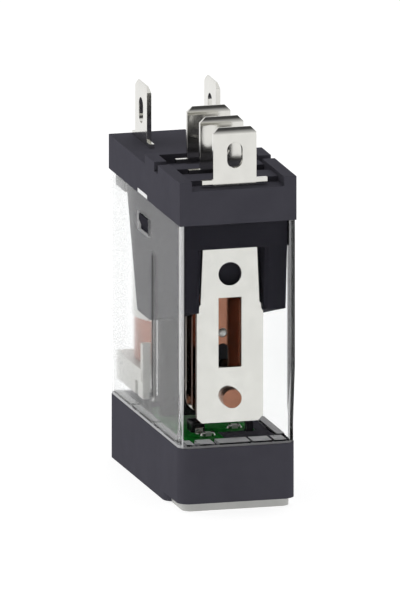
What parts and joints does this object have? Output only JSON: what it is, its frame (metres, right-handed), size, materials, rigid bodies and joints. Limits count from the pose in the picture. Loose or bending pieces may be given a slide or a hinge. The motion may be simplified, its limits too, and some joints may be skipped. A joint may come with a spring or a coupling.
{
  "type": "plug in relay",
  "caption": "Slim one-pole changeover plug-in relay in a clear cover, with flat blades in two directions, a test button under a flap and a status lamp.",
  "frame": {"origin": "centre of the underside of the end cap, which is the face it stands on", "axes": "+X across the 12.7 mm width, +Y from the contact end to the coil end, +Z from the end cap to the blades"},
  "size_m": [0.0126, 0.0284, 0.0409],
  "materials": {
    "dark_plastic": "moulded, fine matt grain",
    "barrier_plastic": "moulded, matt",
    "clear_cover": "clear polycarbonate, lightly frosted sides",
    "plated_terminal": "bright tin-nickel plating on copper alloy",
    "copper": "bright copper alloy",
    "rivet_metal": "plated",
    "card_plastic": "natural moulded",
    "bobbin_plastic": "natural moulded",
    "winding_wire": "enamelled copper wire, layer wound",
    "coil_tape": "polyester tape",
    "magnet_steel": "bright nickel plated soft iron",
    "spring_steel": "bright spring steel",
    "board": "green solder mask on glass epoxy",
    "diode_body": "moulded epoxy",
    "chip_body": "ceramic with tinned ends",
    "pin_metal": "darkened steel",
    "lamp_body": "tinted clear epoxy",
    "lens": "clear polycarbonate",
    "flag_plastic": "orange moulded",
    "button_plastic": "moulded, satin",
    "flap_plastic": "light grey moulded"
  },
  "bodies": {
    "case": {"header": "dark_plastic", "end_cap": "dark_plastic", "insulating_barrier": "barrier_plastic", "cover": "clear_cover", "no_terminal": "plated_terminal", "common_terminal": "plated_terminal", "nc_terminal": "plated_terminal", "coil_terminal_left": "plated_terminal", "coil_terminal_right": "plated_terminal", "no_contact": "copper", "nc_contact": "copper", "spring_rivets": "rivet_metal", "bobbin": "bobbin_plastic", "coil_winding": "winding_wire", "coil_leads": "winding_wire", "coil_tape": "coil_tape", "core": "magnet_steel", "yoke": "magnet_steel", "armature_spring": "spring_steel", "button_spring": "spring_steel", "flag_pin": "spring_steel", "flap_pin": "spring_steel", "circuit_board": "board", "diode": "diode_body", "chip_resistors": "chip_body", "board_pins": "pin_metal", "lamp": "lamp_body", "lamp_lens": "lens", "flag_window": "lens"},
    "armature": {"armature": "magnet_steel"},
    "card": {"card": "card_plastic"},
    "contact_spring": {"contact_spring": "copper", "moving_contact": "copper"},
    "flag": {"flag": "flag_plastic"},
    "test_button": {"test_button": "button_plastic"},
    "flap": {"flap": "flap_plastic"}
  },
  "joints": [
    {"name": "armature_rock", "type": "hinge", "parent": "case", "child": "armature", "pos_m": [0, 0.0025, 0.00945], "axis": [1, 0, 0], "range_deg": [0, 2.4], "stiffness_Nm_per_rad": 0.004, "springref_deg": -1.72},
    {"name": "card_slide", "type": "slide", "parent": "case", "child": "card", "axis": [0, -1, 0], "range_m": [0, 0.00035]},
    {"name": "spring_flex", "type": "hinge", "parent": "case", "child": "contact_spring", "pos_m": [0, -0.00786, 0.0286], "axis": [-1, 0, 0], "range_deg": [0, 1.81]},
    {"name": "flag_rock", "type": "hinge", "parent": "case", "child": "flag", "pos_m": [0, 0.0084, 0.0046], "axis": [1, 0, 0], "range_deg": [0, 8.5]},
    {"name": "test_button_press", "type": "slide", "parent": "case", "child": "test_button", "axis": [0, 0, 1], "range_m": [0, 0.0009], "stiffness_N_per_m": 500, "springref_m": -0.001, "deforming": ["button_spring"]},
    {"name": "flap_hinge", "type": "hinge", "parent": "case", "child": "flap", "pos_m": [0, -0.00935, 0.00045], "axis": [1, 0, 0], "range_deg": [0, 90]}
  ],
  "couplings": [
    {"joint": "card_slide", "follows": "armature_rock", "m_per_rad": 0.00825},
    {"joint": "spring_flex", "follows": "armature_rock", "ratio": 0.75},
    {"joint": "flag_rock", "follows": "armature_rock", "ratio": 3.5}
  ]
}
